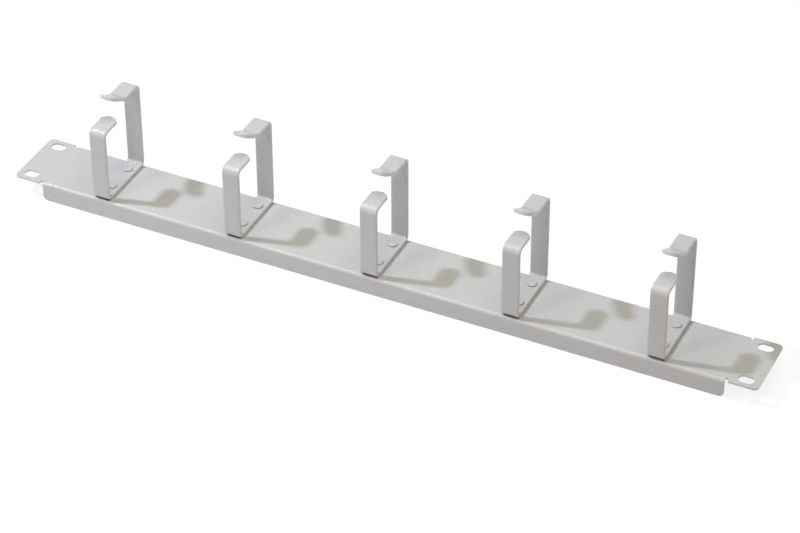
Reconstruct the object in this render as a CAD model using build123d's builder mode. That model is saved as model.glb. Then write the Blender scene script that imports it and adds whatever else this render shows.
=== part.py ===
from build123d import *
import os

# Cable management panel, one rack unit high, for a 19-inch rack.
# A folded steel panel carries a row of open rings of bent steel strip, each riveted down twice.
# X runs along the panel, Y across its height and Z out of its front face.
# The origin is in the middle, level with the free edges of the flanges that the panel lies on.

# Folded panel
panel_length = 482.6  # over both ears
panel_height = 44.0
sheet_thickness = 1.2
flange_depth = 12.3  # front face to the flanges' free edge
sheet_bend_radius = 0.8  # inside the fold
ear_length = 17.7
ear_corner_radius = 3.0
relief_width = 1.9  # slit between an ear and the end of a flange
relief_depth = 2.7
flange_corner_radius = 3.2

# Slots in the ears
slot_inset_x = 8.75  # panel's end to the middle of the slots
slot_inset_y = 6.125  # panel's long edge to the middle of the slots
slot_length = 9.5
slot_width = 6.5

# Rings
ring_count = 5
ring_end_inset = 61.3  # panel's end to the middle of the first ring
strip_width = 10.9
strip_thickness = 2.3
strip_bend_radius = 2.0  # inside the bend
front_post_height = 50.0
rear_post_height = 60.0
front_tab_length = 18.3  # post's outer face to the tab's tip
rear_tab_length = 17.6  # post's outer face to the turn of the lip
lip_length = 14.6
lip_angle = 30.0
lip_bend_radius = 5.0  # on the upper side of the turn
tip_radius = 6.2
strip_edge_radius = 0.6  # rolled long edges
tip_edge_radius = 0.3  # broken edges of the sheared tips

# Rivets
rivet_pitch = 19.6
rivet_offset = 0.6  # middle of the pair, towards the rear post
rivet_shank_diameter = 3.2
rivet_head_diameter = 6.0
rivet_head_height = 1.2
rivet_tail_diameter = 5.4
rivet_tail_height = 1.2
rivet_rim_height = 0.85  # straight side of head and tail, below the dome
rivet_clearance = 0.05  # round the shank

tolerance = 0.001  # for telling equal lengths
edge_share = 0.4  # most of the strip's thickness that one edge's radius can take

# Levels and places that follow from the sizes above
face_level = flange_depth
back_level = face_level - sheet_thickness
sheet_outer_radius = sheet_bend_radius + sheet_thickness
body_length = panel_length - 2 * (ear_length + relief_width)
strip_outer_radius = strip_bend_radius + strip_thickness
base_level = face_level + strip_thickness
rivet_hole_radius = rivet_shank_diameter / 2 + rivet_clearance
slot_pitch_x = panel_length - 2 * slot_inset_x
slot_pitch_y = panel_height - 2 * slot_inset_y
ring_pitch = (panel_length - 2 * ring_end_inset) / (ring_count - 1)
ring_places = [ring_pitch * (i - (ring_count - 1) / 2) for i in range(ring_count)]
rivet_places = {
    "front": rivet_offset - rivet_pitch / 2,
    "rear": rivet_offset + rivet_pitch / 2,
}

os.makedirs("parts", exist_ok=True)


# The panel: one sheet with both long edges folded back and a flat ear at each end
with BuildPart() as panel:
    with BuildSketch(Plane.YZ):
        with BuildLine():
            FilletPolyline(
                (-panel_height / 2, 0),
                (-panel_height / 2, face_level),
                (panel_height / 2, face_level),
                (panel_height / 2, 0),
                radius=sheet_outer_radius,
            )
            offset(amount=sheet_thickness, side=Side.RIGHT)
        make_face()
    extrude(amount=body_length / 2, both=True)

    # The flanges' free corners are rounded off
    fillet(
        panel.edges().filter_by(Axis.Y).group_by(Axis.Z)[0],
        radius=flange_corner_radius,
    )

    # Flat ears, each joined to the body by a neck between two relief slits
    with BuildSketch(Plane.XY.offset(back_level)):
        RectangleRounded(panel_length, panel_height, ear_corner_radius)
        Rectangle(body_length + 2 * relief_width, panel_height, mode=Mode.SUBTRACT)
        Rectangle(body_length + 2 * relief_width, panel_height - 2 * sheet_outer_radius)
        with GridLocations(body_length + relief_width, panel_height, 2, 2):
            SlotOverall(2 * relief_depth, relief_width, rotation=90, mode=Mode.SUBTRACT)
    extrude(amount=sheet_thickness)

    # Slots for the rack's screws
    with BuildSketch(Plane.XY.offset(back_level)):
        with GridLocations(slot_pitch_x, slot_pitch_y, 2, 2):
            SlotOverall(slot_length, slot_width)
    extrude(amount=sheet_thickness, mode=Mode.SUBTRACT)

    # Holes for the rings' rivets
    with BuildSketch(Plane.XY.offset(back_level)):
        with Locations([(x, y) for x in ring_places for y in rivet_places.values()]):
            Circle(rivet_hole_radius)
    extrude(amount=sheet_thickness, mode=Mode.SUBTRACT)
panel.part.label = "panel"
export_step(panel.part, "parts/panel.step")


# A ring: one strip bent into a foot between two posts, with a tab over each post
front_face = -panel_height / 2
rear_face = panel_height / 2
front_tip = Vector(0, front_face + front_tab_length, face_level + front_post_height)
lip_turn = Vector(0, rear_face - rear_tab_length, face_level + rear_post_height)
lip_run = Vector(0, -1, 0).rotate(Axis.X, -lip_angle)
lip_tip = lip_turn + lip_run * lip_length

# Planes on the upper faces of the two ends, with their Y axis pointing past the tip
front_tip_plane = Plane(front_tip, x_dir=(1, 0, 0), z_dir=(0, 0, 1))
lip_tip_plane = Plane(lip_tip, x_dir=(-1, 0, 0), z_dir=Vector(-1, 0, 0).cross(lip_run))

with BuildPart() as ring:
    with BuildSketch(Plane.YZ):
        with BuildLine():
            FilletPolyline(
                (front_tip.Y, front_tip.Z),
                (front_face, front_tip.Z),
                (front_face, face_level),
                (rear_face, face_level),
                (rear_face, lip_turn.Z),
                (lip_turn.Y, lip_turn.Z),
                (lip_tip.Y, lip_tip.Z),
                radius=[strip_outer_radius] * 4 + [lip_bend_radius],
            )
            offset(amount=strip_thickness, side=Side.LEFT)
        make_face()
    extrude(amount=strip_width / 2, both=True)

    # The strip's long edges are rolled round
    fillet(
        (ring.faces().sort_by(Axis.X)[0].edges() + ring.faces().sort_by(Axis.X)[-1].edges())
        .filter_by(lambda edge: abs(edge.length - strip_thickness) > tolerance),
        radius=min(strip_edge_radius, edge_share * strip_thickness),
    )

    # Both ends are sheared to an arc across the strip
    for tip_plane in (front_tip_plane, lip_tip_plane):
        with BuildSketch(tip_plane):
            Rectangle(2 * strip_width, 2 * tip_radius)
            with Locations((0, -tip_radius)):
                Circle(tip_radius, mode=Mode.SUBTRACT)
        extrude(amount=2 * strip_thickness, both=True, mode=Mode.SUBTRACT)
    tip_faces = ring.faces().filter_by(GeomType.CYLINDER).filter_by(
        lambda face: abs(face.radius - tip_radius) < tolerance
    )
    fillet(tip_faces.edges(), radius=min(tip_edge_radius, edge_share * strip_thickness))

    # Rivet holes through the foot
    with BuildSketch(Plane.XY.offset(face_level)):
        with Locations([(0, y) for y in rivet_places.values()]):
            Circle(rivet_hole_radius)
    extrude(amount=strip_thickness, mode=Mode.SUBTRACT)


# A rivet: low domed head on the strip, shank through both sheets, flattened tail behind the panel
with BuildPart() as rivet:
    with BuildSketch(Plane.XZ):
        with BuildLine():
            head_top = (0, base_level + rivet_head_height)
            head_rim = (rivet_head_diameter / 2, base_level + rivet_rim_height)
            tail_rim = (rivet_tail_diameter / 2, back_level - rivet_rim_height)
            tail_end = (0, back_level - rivet_tail_height)
            TangentArc(head_top, head_rim, tangent=(1, 0))
            Polyline(
                head_rim,
                (rivet_head_diameter / 2, base_level),
                (rivet_shank_diameter / 2, base_level),
                (rivet_shank_diameter / 2, back_level),
                (rivet_tail_diameter / 2, back_level),
                tail_rim,
            )
            TangentArc(tail_end, tail_rim, tangent=(1, 0))
            Line(tail_end, head_top)
        make_face()
    revolve(axis=Axis.Z)


# Every ring and its two rivets stand at their own place along the panel
for number, x in enumerate(ring_places, start=1):
    with BuildPart() as placed_ring:
        with Locations((x, 0, 0)):
            add(ring.part)
    placed_ring.part.label = f"ring_{number}"
    export_step(placed_ring.part, f"parts/ring_{number}.step")

    for end, y in rivet_places.items():
        with BuildPart() as placed_rivet:
            with Locations((x, y, 0)):
                add(rivet.part)
        placed_rivet.part.label = f"rivet_{number}_{end}"
        export_step(placed_rivet.part, f"parts/rivet_{number}_{end}.step")
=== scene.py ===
import bmesh
import bpy
import math
from mathutils import Matrix, Vector


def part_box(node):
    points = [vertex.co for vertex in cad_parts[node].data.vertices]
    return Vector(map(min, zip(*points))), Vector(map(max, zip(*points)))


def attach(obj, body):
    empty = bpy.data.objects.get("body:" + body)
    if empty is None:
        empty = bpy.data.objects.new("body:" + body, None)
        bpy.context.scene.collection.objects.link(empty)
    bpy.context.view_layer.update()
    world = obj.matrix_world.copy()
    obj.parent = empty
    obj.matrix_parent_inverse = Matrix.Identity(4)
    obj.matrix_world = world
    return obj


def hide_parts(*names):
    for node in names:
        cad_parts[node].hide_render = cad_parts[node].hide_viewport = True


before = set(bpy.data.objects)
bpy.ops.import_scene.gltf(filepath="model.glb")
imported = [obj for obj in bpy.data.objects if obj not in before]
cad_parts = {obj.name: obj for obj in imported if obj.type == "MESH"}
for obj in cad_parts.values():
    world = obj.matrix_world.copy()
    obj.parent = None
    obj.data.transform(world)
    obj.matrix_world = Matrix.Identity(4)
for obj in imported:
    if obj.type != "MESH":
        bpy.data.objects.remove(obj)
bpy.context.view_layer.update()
mm = 0.001
hair = 0.01 * mm  # what counts as the same place
flatAngle = math.radians(1)  # faces that turn by less than this are one face
sharpAngle = math.radians(50)  # edges that turn by more are rounded, and kept out of the smoothing
ringNames = sorted(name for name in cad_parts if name.startswith("ring_"))
ringPlaces = [(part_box(name)[0][0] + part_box(name)[1][0]) / 2 for name in ringNames]
rivetBoxes = {end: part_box(f"rivet_1_{end}") for end in ("front", "rear")}
rivetPlaces = {end: (low[1] + high[1]) / 2 for end, (low, high) in rivetBoxes.items()}
print("stage: frame loaded")


# Camera, where it stood for the photograph
cameraView = {
    "azimuth": 25.668,  # degrees, from straight in front towards the right end
    "elevation": 37.038,
    "roll": -0.144,
    "distance": 1679.8 * mm,
    "target": (37.65 * mm, -57.54 * mm, 56.70 * mm),
    "lens": 134.25,
    "clip": (0.05, 60.0),  # metres
}


def makeCamera(view):
    azimuth = math.radians(view["azimuth"])
    elevation = math.radians(view["elevation"])
    roll = math.radians(view["roll"])
    back = Vector((
        math.sin(azimuth) * math.cos(elevation),
        -math.cos(azimuth) * math.cos(elevation),
        math.sin(elevation),
    ))
    right = Vector((math.cos(azimuth), math.sin(azimuth), 0))
    up = back.cross(right)
    turned = Matrix((
        right * math.cos(roll) + up * math.sin(roll),
        up * math.cos(roll) - right * math.sin(roll),
        back,
    )).transposed()
    place = Vector(view["target"]) + back * view["distance"]
    bpy.ops.object.camera_add(location=place, rotation=turned.to_euler())
    camera = bpy.context.object
    camera.name = "camera"
    camera.data.lens = view["lens"]
    camera.data.clip_start, camera.data.clip_end = view["clip"]
    bpy.context.scene.camera = camera


makeCamera(cameraView)
print("stage: camera")


# Lamps and world, with places in metres and powers in watts
keyLamp = {
    "place": (-1.173, -0.306, 1.444),
    "aim": (0, 0, 0.012),
    "size": 0.12,
    "power": 20.3,
    "colour": (0.780, 0.809, 1.0),
}
overheadBox = {
    "place": (-0.05, 0.04, 1.3),
    "aim": (0, 0, 0),
    "size": 1.2,
    "power": 9.5,
    "colour": (0.981, 1.0, 0.877),
}
frontHighBox = {
    "place": (-0.69, -1.20, 1.44),
    "aim": (0, 0, 0),
    "size": 0.4,
    "power": 4.0,
    "colour": (1.0, 0.876, 0.879),
}
frontLowBox = {
    "place": (-0.04, -1.96, 0.42),
    "aim": (0, 0, 0),
    "size": 0.5,
    "power": 4.3,
    "colour": (1.0, 0.893, 0.637),
}
studioWorld = {
    "wash": (0.789, 0.695, 0.649),  # light from the right end, falling off to nothing overhead
    "seen": (1, 1, 1),  # what the camera sees behind the floor
}


def makeLamp(name, lamp):
    bpy.ops.object.light_add(type="AREA", location=lamp["place"])
    light = bpy.context.object
    light.name = name
    light.rotation_mode = "QUATERNION"
    light.rotation_quaternion = (Vector(lamp["aim"]) - Vector(lamp["place"])).to_track_quat("-Z", "Y")
    light.data.shape = "DISK"
    light.data.size = lamp["size"]
    light.data.energy = lamp["power"]
    light.data.color = lamp["colour"]


def makeWorld(sky):
    world = bpy.data.worlds.new("studio")
    bpy.context.scene.world = world
    world.use_nodes = True
    nodes, links = world.node_tree.nodes, world.node_tree.links
    nodes.clear()
    out = nodes.new("ShaderNodeOutputWorld")
    seen = nodes.new("ShaderNodeBackground")
    seen.inputs["Color"].default_value = (*sky["seen"], 1)
    lit = nodes.new("ShaderNodeBackground")
    lit.inputs["Color"].default_value = (*sky["wash"], 1)
    place = nodes.new("ShaderNodeTexCoord")
    toRight = nodes.new("ShaderNodeSeparateXYZ")
    fade = nodes.new("ShaderNodeClamp")
    links.new(place.outputs["Generated"], toRight.inputs[0])
    links.new(toRight.outputs["X"], fade.inputs["Value"])
    links.new(fade.outputs[0], lit.inputs["Strength"])
    path = nodes.new("ShaderNodeLightPath")
    mix = nodes.new("ShaderNodeMixShader")
    links.new(path.outputs["Is Camera Ray"], mix.inputs["Fac"])
    links.new(lit.outputs[0], mix.inputs[1])
    links.new(seen.outputs[0], mix.inputs[2])
    links.new(mix.outputs[0], out.inputs["Surface"])


makeLamp("keyLamp", keyLamp)
makeLamp("overheadBox", overheadBox)
makeLamp("frontHighBox", frontHighBox)
makeLamp("frontLowBox", frontLowBox)
makeWorld(studioWorld)
bpy.context.scene.view_settings.view_transform = "Standard"
print("stage: lamps and world")


# Floor, with lengths in metres
floorSheet = {
    "size": 24.0,
    "colour": (0.50, 0.50, 0.50),  # as it lights the object
    "lift": (0.239, 0.267, 0.388),  # glow added to that, on the left
    "liftReach": 0.35,  # from the middle to where the glow is full on the left and gone on the right
    "shownColour": (0.17, 0.17, 0.17),  # as the camera and reflections see it
    "shownLift": 0.85,  # glow added to that
}


def makeFloor(floor):
    bpy.ops.mesh.primitive_plane_add(size=floor["size"], location=(0, 0, 0))
    sheet = bpy.context.object
    sheet.name = "floor"
    paper = bpy.data.materials.new("whitePaper")
    paper.use_nodes = True
    nodes, links = paper.node_tree.nodes, paper.node_tree.links
    nodes.clear()

    def paperShader(colour):
        matt = nodes.new("ShaderNodeBsdfDiffuse")
        matt.inputs["Color"].default_value = (*colour, 1)
        glow = nodes.new("ShaderNodeEmission")
        both = nodes.new("ShaderNodeAddShader")
        links.new(matt.outputs[0], both.inputs[0])
        links.new(glow.outputs[0], both.inputs[1])
        return both.outputs[0], glow

    place = nodes.new("ShaderNodeTexCoord")
    along = nodes.new("ShaderNodeSeparateXYZ")
    toLeft = nodes.new("ShaderNodeMapRange")
    toLeft.inputs["From Min"].default_value = floor["liftReach"]
    toLeft.inputs["From Max"].default_value = -floor["liftReach"]
    links.new(place.outputs["Object"], along.inputs[0])
    links.new(along.outputs["X"], toLeft.inputs["Value"])
    lit, litGlow = paperShader(floor["colour"])
    litGlow.inputs["Color"].default_value = (*floor["lift"], 1)
    links.new(toLeft.outputs["Result"], litGlow.inputs["Strength"])
    shown, shownGlow = paperShader(floor["shownColour"])
    shownGlow.inputs["Strength"].default_value = floor["shownLift"]
    path = nodes.new("ShaderNodeLightPath")
    looked = nodes.new("ShaderNodeMath")
    looked.operation = "MAXIMUM"
    mix = nodes.new("ShaderNodeMixShader")
    out = nodes.new("ShaderNodeOutputMaterial")
    links.new(path.outputs["Is Camera Ray"], looked.inputs[0])
    links.new(path.outputs["Is Glossy Ray"], looked.inputs[1])
    links.new(looked.outputs[0], mix.inputs["Fac"])
    links.new(lit, mix.inputs[1])
    links.new(shown, mix.inputs[2])
    links.new(mix.outputs[0], out.inputs["Surface"])
    sheet.data.materials.append(paper)


makeFloor(floorSheet)
print("stage: floor")


# Tools for shaping
roundProfile = 0.5  # that of an arc
drillSides = 48
faceWeight = 100  # how far large faces lead the shading


def near(one, other):
    return abs(one - other) < hair


def middle(part):
    return sum((corner.co for corner in part.verts), Vector()) / len(part.verts)


def pick(kind, test):
    bpy.ops.mesh.select_mode(type=kind)
    bpy.ops.mesh.select_all(action="DESELECT")
    mesh = bpy.context.object.data
    work = bmesh.from_edit_mesh(mesh)
    for part in {"VERT": work.verts, "EDGE": work.edges}[kind]:
        if test(part):
            part.select_set(True)
    bmesh.update_edit_mesh(mesh)


def pull(x, y, z):
    bpy.ops.mesh.extrude_region_move(TRANSFORM_OT_translate={"value": (x, y, z)})


def roundOff(affect, offset, segments):
    bpy.ops.mesh.bevel(offset=offset, segments=segments, affect=affect, profile=roundProfile)


def startPlate(name, low, high, level):
    bpy.ops.object.select_all(action="DESELECT")
    centre = ((low[0] + high[0]) / 2, (low[1] + high[1]) / 2, level)
    bpy.ops.mesh.primitive_plane_add(size=1, location=centre)
    plate = bpy.context.object
    plate.name = name
    plate.data.name = name
    plate.scale = (high[0] - low[0], high[1] - low[1], 1)
    bpy.ops.object.transform_apply(location=True, rotation=True, scale=True)
    return plate


def onlyThis(piece):
    bpy.ops.object.select_all(action="DESELECT")
    piece.select_set(True)
    bpy.context.view_layer.objects.active = piece


def addModifier(piece, kind, **settings):
    onlyThis(piece)
    modifier = piece.modifiers.new(kind.lower(), kind)
    for name, value in settings.items():
        setattr(modifier, name, value)
    bpy.ops.object.modifier_apply(modifier=modifier.name)


def faceOut(facesOut):
    # Makes the normals agree and turns them all round if the test says that they look inwards
    bpy.ops.mesh.select_all(action="SELECT")
    bpy.ops.mesh.normals_make_consistent(inside=False)
    work = bmesh.from_edit_mesh(bpy.context.object.data)
    if not facesOut(work):
        bpy.ops.mesh.flip_normals()


def cutHoles(piece, cutters):
    onlyThis(cutters[0])
    for cutter in cutters:
        cutter.select_set(True)
    if len(cutters) > 1:
        bpy.ops.object.join()
    tool = bpy.context.object
    addModifier(piece, "BOOLEAN", operation="DIFFERENCE", solver="EXACT", object=tool)
    onlyThis(tool)
    bpy.ops.object.delete()


def smoothOver(piece):
    onlyThis(piece)
    bpy.ops.object.shade_smooth_by_angle(angle=sharpAngle)
    addModifier(piece, "WEIGHTED_NORMAL", keep_sharp=True, weight=faceWeight)


def addDrill(x, y, low, high, radius, stretch=0.0):
    # A round cutter, or one for a slot if it is stretched along X
    bpy.ops.object.select_all(action="DESELECT")
    bpy.ops.mesh.primitive_cylinder_add(vertices=drillSides, radius=radius, depth=high - low,
                                        location=(x, y, (low + high) / 2))
    drill = bpy.context.object
    bpy.ops.object.transform_apply(location=True, rotation=True, scale=True)
    if stretch:
        bpy.ops.object.mode_set(mode="EDIT")
        for side in (-1, 1):
            pick("VERT", lambda v: (v.co.x - x) * side > hair)
            bpy.ops.transform.translate(value=(side * stretch / 2, 0, 0))
        bpy.ops.object.mode_set(mode="OBJECT")
    return drill


# Powder coat: what its three materials share, in two groups
def startGroup(name, inputs, outputs):
    group = bpy.data.node_groups.new(name, "ShaderNodeTree")
    for direction, sockets in (("INPUT", inputs), ("OUTPUT", outputs)):
        for label, kind in sockets.items():
            group.interface.new_socket(label, in_out=direction, socket_type=kind)
    return group, group.nodes.new("NodeGroupInput"), group.nodes.new("NodeGroupOutput")


def addMath(group, operation, *values):
    # A Math node over sockets and plain numbers
    node = group.nodes.new("ShaderNodeMath")
    node.operation = operation
    for socket, value in zip(node.inputs, values):
        if isinstance(value, (int, float)):
            socket.default_value = value
        else:
            group.links.new(value, socket)
    return node.outputs[0]


orangePeel = {
    "dimpleDetail": 1.5,
    "waveDetail": 2.0,
    "dimpleShare": 0.7,  # of the height
    "waveShare": 0.3,
    "evenWave": 0.5,  # height of the wave at which gloss and shade are as written
}


def makeOrangePeel(peel):
    # Fine dimples over a slower wave, with a little change of gloss and shade
    group, given, out = startGroup(
        "orangePeel",
        {"Place": "NodeSocketVector", "Dimple Scale": "NodeSocketFloat", "Wave Scale": "NodeSocketFloat",
         "Roughness": "NodeSocketFloat", "Roughness Spread": "NodeSocketFloat",
         "Paint": "NodeSocketColor", "Shade Spread": "NodeSocketFloat"},
        {"Paint": "NodeSocketColor", "Roughness": "NodeSocketFloat", "Height": "NodeSocketFloat"})
    links = group.links
    dimple = group.nodes.new("ShaderNodeTexNoise")
    dimple.inputs["Detail"].default_value = peel["dimpleDetail"]
    wave = group.nodes.new("ShaderNodeTexNoise")
    wave.inputs["Detail"].default_value = peel["waveDetail"]
    for noise, scale in ((dimple, "Dimple Scale"), (wave, "Wave Scale")):
        links.new(given.outputs["Place"], noise.inputs["Vector"])
        links.new(given.outputs[scale], noise.inputs["Scale"])
    fine = addMath(group, "MULTIPLY", dimple.outputs["Fac"], peel["dimpleShare"])
    height = addMath(group, "MULTIPLY_ADD", wave.outputs["Fac"], peel["waveShare"], fine)
    links.new(height, out.inputs["Height"])
    offWave = addMath(group, "SUBTRACT", wave.outputs["Fac"], peel["evenWave"])
    gloss = addMath(group, "MULTIPLY_ADD", offWave, given.outputs["Roughness Spread"],
                    given.outputs["Roughness"])
    links.new(gloss, out.inputs["Roughness"])
    shade = addMath(group, "MULTIPLY_ADD", offWave, given.outputs["Shade Spread"], 1)
    paint = group.nodes.new("ShaderNodeVectorMath")
    paint.operation = "SCALE"
    links.new(given.outputs["Paint"], paint.inputs[0])
    links.new(shade, paint.inputs["Scale"])
    links.new(paint.outputs[0], out.inputs["Paint"])
    return group


def makeCreviceShade():
    # Painted shade: 1 in the narrow gap below the bends of each ring's foot, and also on all that lies
    # straight
    # below it, as it has no lower limit: the panel's back is painted dark there
    group, given, out = startGroup(
        "crevice",
        {"Place": "NodeSocketVector", "Ring Pitch": "NodeSocketFloat", "Half Width": "NodeSocketFloat",
         "Inner": "NodeSocketFloat", "Outer": "NodeSocketFloat", "Top": "NodeSocketFloat",
         "Fade": "NodeSocketFloat"},
        {"Crevice": "NodeSocketFloat"})
    links = group.links

    def below(value, limit):
        # 1 below the limit and 0 above it, with the fade's width half on each side
        ratio = addMath(group, "DIVIDE", addMath(group, "SUBTRACT", limit, value), given.outputs["Fade"])
        clamp = group.nodes.new("ShaderNodeClamp")
        links.new(addMath(group, "ADD", ratio, 1 / 2), clamp.inputs["Value"])
        return clamp.outputs[0]

    xyz = group.nodes.new("ShaderNodeSeparateXYZ")
    links.new(given.outputs["Place"], xyz.inputs[0])
    halfPitch = addMath(group, "MULTIPLY", given.outputs["Ring Pitch"], 1 / 2)
    along = addMath(group, "PINGPONG", xyz.outputs["X"], halfPitch)  # from the nearest ring's middle
    across = addMath(group, "ABSOLUTE", xyz.outputs["Y"])
    mask = below(along, given.outputs["Half Width"])
    for part in (
        below(across, given.outputs["Outer"]),
        addMath(group, "SUBTRACT", 1, below(across, given.outputs["Inner"])),
        below(xyz.outputs["Z"], given.outputs["Top"]),
    ):
        mask = addMath(group, "MULTIPLY", mask, part)
    links.new(mask, out.inputs["Crevice"])
    return group


powderCoat = {
    "paint": (0.62, 0.62, 0.61),
    "paintedShade": (0.14, 0.14, 0.14),  # painted shade in the crevice below each ring's foot bends
    "roughness": 0.25,
    "roughnessSpread": 0.08,
    "shadeSpread": 0.05,
    "dimpleScale": 1250.0,  # cells to a metre
    "waveScale": 170.0,
    "peelDepth": 0.36 * mm,
    "creviceInner": 17.8 * mm,  # from the panel's middle line
    "creviceOuter": 20.3 * mm,
    "creviceHeight": 0.9 * mm,  # over the panel's face
    "creviceSetIn": 0.6 * mm,  # from the strip's sides
    "creviceFade": 0.5 * mm,
}


def makePaint(name, coat, groups):
    paint = bpy.data.materials.new(name)
    paint.use_nodes = True
    nodes, links = paint.node_tree.nodes, paint.node_tree.links
    shader = nodes["Principled BSDF"]
    place = nodes.new("ShaderNodeTexCoord")
    peel = nodes.new("ShaderNodeGroup")
    creviceShade = nodes.new("ShaderNodeGroup")
    peel.node_tree, creviceShade.node_tree = groups
    for node in (peel, creviceShade):
        links.new(place.outputs["Object"], node.inputs["Place"])
    peelValues = {"Dimple Scale": "dimpleScale", "Wave Scale": "waveScale", "Roughness": "roughness",
                  "Roughness Spread": "roughnessSpread", "Shade Spread": "shadeSpread"}
    for socket, key in peelValues.items():
        peel.inputs[socket].default_value = coat[key]
    peel.inputs["Paint"].default_value = (*coat["paint"], 1)
    low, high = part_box("ring_1")
    creviceShade.inputs["Ring Pitch"].default_value = ringPlaces[1] - ringPlaces[0]
    creviceShade.inputs["Half Width"].default_value = (high[0] - low[0]) / 2 - coat["creviceSetIn"]
    creviceShade.inputs["Inner"].default_value = coat["creviceInner"]
    creviceShade.inputs["Outer"].default_value = coat["creviceOuter"]
    creviceShade.inputs["Top"].default_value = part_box("panel")[1][2] + coat["creviceHeight"]
    creviceShade.inputs["Fade"].default_value = coat["creviceFade"]
    # Painted shade: the paint turns dark where the crevice mask is 1
    shadeMix = nodes.new("ShaderNodeMix")
    shadeMix.data_type = "RGBA"
    links.new(creviceShade.outputs["Crevice"], shadeMix.inputs["Factor"])
    links.new(peel.outputs["Paint"], shadeMix.inputs["A"])
    shadeMix.inputs["B"].default_value = (*coat["paintedShade"], 1)
    links.new(shadeMix.outputs["Result"], shader.inputs["Base Color"])
    links.new(peel.outputs["Roughness"], shader.inputs["Roughness"])
    bump = nodes.new("ShaderNodeBump")
    bump.inputs["Distance"].default_value = coat["peelDepth"]
    links.new(peel.outputs["Height"], bump.inputs["Height"])
    links.new(bump.outputs["Normal"], shader.inputs["Normal"])
    return paint


coatGroups = (makeOrangePeel(orangePeel), makeCreviceShade())
panelPaint = makePaint("panelPaint", powderCoat, coatGroups)
ringPaint = makePaint("ringPaint", powderCoat, coatGroups)
rivetPaint = makePaint("rivetPaint", powderCoat, coatGroups)
print("stage: paint")


# The folded panel
panelSheet = {
    "thickness": 1.2 * mm,
    "foldRadius": 2.0 * mm,  # outer
    "earLength": 17.7 * mm,
    "earCorner": 3.0 * mm,
    "reliefWidth": 1.9 * mm,
    "reliefDepth": 2.7 * mm,
    "flangeCorner": 3.2 * mm,
    "slotInset": (8.75 * mm, 6.125 * mm),
    "slotLength": 9.5 * mm,
    "slotWidth": 6.5 * mm,
    "rivetHole": 3.3 * mm,
    "drillDepth": 3.6 * mm,  # from the face to past the back
    "softEdge": 0.18 * mm,  # paint rounds every cut edge by this much
    "slitSideShare": 0.7,  # of the room between a slit's end and the fold, rounded on the flange's side
    "cornerSteps": 8,
    "slitSteps": 6,
    "slitSideSteps": 2,
    "foldSteps": 10,
    "softSteps": 2,
}


def makePanel(panel):
    low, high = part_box("panel")
    bodyEnd = high[0] - panel["earLength"] - panel["reliefWidth"]
    earStart = high[0] - panel["earLength"]
    neck = high[1] - panel["reliefDepth"]
    sheet = startPlate("panelSheet", (-bodyEnd, -neck), (bodyEnd, neck), high[2])
    bpy.ops.object.mode_set(mode="EDIT")
    for side in (-1, 1):
        pick("EDGE", lambda e: near(middle(e).x, side * bodyEnd))
        pull(side * panel["reliefWidth"], 0, 0)
        pull(side * panel["earLength"], 0, 0)
    for side in (-1, 1):
        pick("EDGE", lambda e: near(middle(e).y, side * neck)
             and not bodyEnd < abs(middle(e).x) < earStart)
        pull(0, side * panel["reliefDepth"], 0)
    pick("EDGE", lambda e: near(abs(middle(e).y), high[1]) and abs(middle(e).x) < bodyEnd)
    pull(0, 0, low[2] - high[2])
    bpy.ops.mesh.select_all(action="SELECT")
    bpy.ops.mesh.dissolve_limited(angle_limit=flatAngle)
    # Corners of the flanges and ears, round ends of the slits, and the folds
    pick("VERT", lambda v: near(v.co.z, low[2]))
    roundOff("VERTICES", panel["flangeCorner"], panel["cornerSteps"])
    pick("VERT", lambda v: near(abs(v.co.x), high[0]))
    roundOff("VERTICES", panel["earCorner"], panel["cornerSteps"])
    pick("VERT", lambda v: near(abs(v.co.x), earStart) and near(abs(v.co.y), neck))
    roundOff("VERTICES", panel["reliefWidth"] / 2, panel["slitSteps"])
    pick("EDGE", lambda e: near(abs(middle(e).y), high[1]) and near(middle(e).z, high[2])
         and abs(middle(e).x) < bodyEnd)
    roundOff("EDGES", panel["foldRadius"], panel["foldSteps"])
    pick("VERT", lambda v: near(abs(v.co.x), bodyEnd) and near(abs(v.co.y), neck))
    slitSide = (high[1] - panel["foldRadius"] - neck) * panel["slitSideShare"]
    roundOff("VERTICES", slitSide, panel["slitSideSteps"])
    faceOut(lambda work: max(work.faces, key=lambda f: f.calc_area()).normal.z > 0)
    bpy.ops.object.mode_set(mode="OBJECT")
    addModifier(sheet, "SOLIDIFY", thickness=panel["thickness"], offset=-1, use_even_offset=True)
    # Slots for the rack's screws and holes for the rivets, drilled right through
    back, front = high[2] - panel["drillDepth"], high[2] + panel["thickness"]
    slotX, slotY = high[0] - panel["slotInset"][0], high[1] - panel["slotInset"][1]
    straight = panel["slotLength"] - panel["slotWidth"]
    drills = [addDrill(x, y, back, front, panel["slotWidth"] / 2, straight)
              for x in (-slotX, slotX) for y in (-slotY, slotY)]
    drills += [addDrill(x, y, back, front, panel["rivetHole"] / 2)
               for x in ringPlaces for y in rivetPlaces.values()]
    cutHoles(sheet, drills)
    addModifier(sheet, "BEVEL", width=panel["softEdge"], segments=panel["softSteps"],
                limit_method="ANGLE", angle_limit=sharpAngle, use_clamp_overlap=False)
    smoothOver(sheet)
    return sheet


# A cable ring, bent from one strip
cableRing = {
    "thickness": 2.3 * mm,
    "bendRadius": 4.3 * mm,  # outer
    "frontPost": 50.0 * mm,
    "rearPost": 60.0 * mm,
    "frontTab": 18.3 * mm,
    "rearTab": 17.6 * mm,
    "lip": 14.6 * mm,
    "lipAngle": 30.0,  # degrees
    "lipBend": 5.0 * mm,
    "tipRadius": 6.2 * mm,
    "tipSteps": 10,  # with more, the rolled edge is wider than a step at the corners and folds over
    "rolledEdge": 0.8 * mm,
    "shearedEdge": 0.3 * mm,
    "rivetHole": 3.3 * mm,
    "bendSteps": 10,
    "lipBendSteps": 5,
    "edgeSteps": 4,
}


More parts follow.
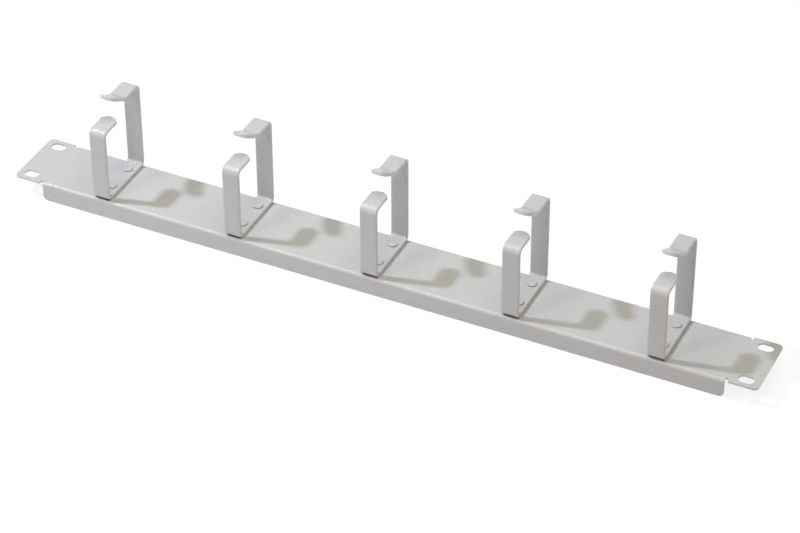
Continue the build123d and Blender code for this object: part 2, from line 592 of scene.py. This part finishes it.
def spinTip(centre, run, half, radius, steps):
    # Ends the strip with an arc from one corner to the other and a face inside it
    across = Vector((half, 0, 0))
    axis = across.cross(run).normalized()
    corner = centre - across + run * math.sqrt(radius ** 2 - half ** 2)
    pick("VERT", lambda v: (v.co - corner).length < hair)
    bpy.ops.mesh.spin(steps=steps, angle=2 * math.asin(half / radius), center=centre, axis=axis)
    bpy.ops.mesh.select_all(action="SELECT")
    bpy.ops.mesh.remove_doubles(threshold=hair)
    pick("VERT", lambda v: near((v.co - centre).length, radius) and near((v.co - centre).dot(axis), 0))
    bpy.ops.mesh.edge_face_add()


def makeRing(ring):
    low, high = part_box("ring_1")
    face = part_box("panel")[1][2]
    half = (high[0] - low[0]) / 2
    tipRise = ring["tipRadius"] - math.sqrt(ring["tipRadius"] ** 2 - half ** 2)
    lean = math.radians(ring["lipAngle"])
    lipRun = Vector((0, -math.cos(lean), math.sin(lean)))
    frontTop, rearTop = face + ring["frontPost"], face + ring["rearPost"]
    lipTurn = Vector((0, high[1] - ring["rearTab"], rearTop))
    strip = startPlate("cableRing", (-half, low[1]), (half, high[1]), face)
    bpy.ops.object.mode_set(mode="EDIT")
    pick("EDGE", lambda e: near(middle(e).y, low[1]))
    pull(0, 0, ring["frontPost"])
    pull(0, ring["frontTab"] - tipRise, 0)
    pick("EDGE", lambda e: near(middle(e).y, high[1]))
    pull(0, 0, ring["rearPost"])
    pull(0, -ring["rearTab"], 0)
    pull(*(lipRun * (ring["lip"] - tipRise)))
    # Sheared tips, each an arc across the strip
    toRear = Vector((0, 1, 0))
    frontTip = Vector((0, low[1], frontTop)) + toRear * (ring["frontTab"] - ring["tipRadius"])
    lipTip = lipTurn + lipRun * (ring["lip"] - ring["tipRadius"])
    spinTip(frontTip, toRear, half, ring["tipRadius"], ring["tipSteps"])
    spinTip(lipTip, lipRun, half, ring["tipRadius"], ring["tipSteps"])
    bpy.ops.mesh.select_all(action="SELECT")
    bpy.ops.mesh.dissolve_limited(angle_limit=flatAngle)
    # Four right-angled bends and the lip's shallow one
    pick("EDGE", lambda e: near(abs(e.verts[0].co.x - e.verts[1].co.x), 2 * half)
         and (near(middle(e).y, low[1]) or near(middle(e).y, high[1])))
    roundOff("EDGES", ring["bendRadius"], ring["bendSteps"])
    pick("EDGE", lambda e: (middle(e) - lipTurn).length < hair)
    roundOff("EDGES", ring["lipBend"] * math.tan(lean / 2), ring["lipBendSteps"])
    faceOut(lambda work: min(work.faces, key=lambda f: f.calc_center_median().z).normal.z < 0)
    bpy.ops.object.mode_set(mode="OBJECT")
    addModifier(strip, "SOLIDIFY", thickness=ring["thickness"], offset=-1, use_even_offset=True)
    # Long edges rolled, and the edges at the tips broken less far
    bpy.ops.object.mode_set(mode="EDIT")
    pick("EDGE", lambda e: e.calc_face_angle(0) > sharpAngle)
    bpy.ops.transform.edge_bevelweight(value=ring["shearedEdge"] / ring["rolledEdge"])
    pick("EDGE", lambda e: near(abs(middle(e).x), half)
         and any(near(f.normal.x, 0) for f in e.link_faces))
    bpy.ops.transform.edge_bevelweight(value=1.0)
    bpy.ops.object.mode_set(mode="OBJECT")
    addModifier(strip, "BEVEL", width=ring["rolledEdge"], segments=ring["edgeSteps"],
                limit_method="WEIGHT", use_clamp_overlap=False)
    under, over = face - ring["thickness"], face + 2 * ring["thickness"]
    cutHoles(strip, [addDrill(0, y, under, over, ring["rivetHole"] / 2) for y in rivetPlaces.values()])
    smoothOver(strip)
    return strip


def copyTo(piece, name, x, y):
    onlyThis(piece)
    bpy.ops.object.duplicate(linked=False)
    copy = bpy.context.object
    copy.name = name
    copy.data.name = name
    copy.location = (x, y, 0)
    bpy.ops.object.transform_apply(location=True, rotation=True, scale=True)
    return copy


# A rivet, set through the foot of a ring and the panel
footRivet = {
    "shank": 3.2 * mm,
    "head": 6.0 * mm,
    "tail": 5.4 * mm,
    "domeHeight": 1.2 * mm,
    "rimHeight": 0.85 * mm,  # straight side below the dome
    "undercut": 0.25 * mm,  # groove that the paint leaves open round the head
    "undercutRise": 0.15 * mm,  # straight side of that, below its slope
    "sides": 40,
    "domeSteps": (1, 0.8, 0.6, 0.4, 0.2, 0.06),  # loops, as shares of the turn from crown to rim
}


def growRing(radius, z, last):
    # Adds a loop above the selected one
    bpy.ops.mesh.extrude_edges_move(TRANSFORM_OT_translate={"value": (0, 0, z - last[1])})
    share = radius / last[0]
    bpy.ops.transform.resize(value=(share, share, 1), center_override=(0, 0, z))
    return radius, z


def makeRivet(rivet):
    low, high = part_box("rivet_1_front")
    base = high[2] - rivet["domeHeight"]
    back = low[2] + rivet["domeHeight"]
    dome = rivet["domeHeight"] - rivet["rimHeight"]

    def domed(radius, rim, way):
        # Radius and height of each loop, from the rim to beside the crown
        ball = (radius ** 2 + dome ** 2) / (2 * dome)
        turn = math.asin(radius / ball)
        return [(ball * math.sin(turn * step), rim + way * (ball * (math.cos(turn * step) - math.cos(turn))))
                for step in rivet["domeSteps"]]

    head, tail, shank = rivet["head"] / 2, rivet["tail"] / 2, rivet["shank"] / 2
    groove = rivet["undercut"]
    slope = base + rivet["undercutRise"]
    profile = domed(tail, low[2] + dome, -1)[::-1]
    profile += [(tail, back), (shank, back), (shank, base)]
    profile += [(head - groove, base), (head - groove, slope), (head, slope + groove)]
    profile += domed(head, high[2] - dome, 1)
    bpy.ops.object.select_all(action="DESELECT")
    last = profile[0]
    bpy.ops.mesh.primitive_circle_add(vertices=rivet["sides"], radius=last[0],
                                      location=(0, 0, last[1]), fill_type="NGON")
    piece = bpy.context.object
    piece.name = piece.data.name = "rivet"
    bpy.ops.object.transform_apply(location=True, rotation=True, scale=True)
    bpy.ops.object.mode_set(mode="EDIT")
    for radius, z in profile[1:]:
        pick("EDGE", lambda e: e.is_boundary)
        last = growRing(radius, z, last)
    bpy.ops.mesh.edge_face_add()
    faceOut(lambda work: max(work.faces, key=lambda f: f.calc_center_median().z).normal.z > 0)
    bpy.ops.object.mode_set(mode="OBJECT")
    smoothOver(piece)
    return piece


def dress(piece, node, paint):
    piece.data.materials.clear()
    piece.data.materials.append(paint)
    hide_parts(node)
    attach(piece, "root")


panelPiece = makePanel(panelSheet)
dress(panelPiece, "panel", panelPaint)
print("stage: panel")

ringPattern = makeRing(cableRing)
rivetPattern = makeRivet(footRivet)
for number, x in enumerate(ringPlaces, start=1):
    dress(copyTo(ringPattern, f"cableRing{number}", x, 0), f"ring_{number}", ringPaint)
    for end, y in rivetPlaces.items():
        piece = copyTo(rivetPattern, f"rivet{number}{end.capitalize()}", x, y)
        dress(piece, f"rivet_{number}_{end}", rivetPaint)
for pattern in (ringPattern, rivetPattern):
    onlyThis(pattern)
    bpy.ops.object.delete()
print("stage: rings and rivets")
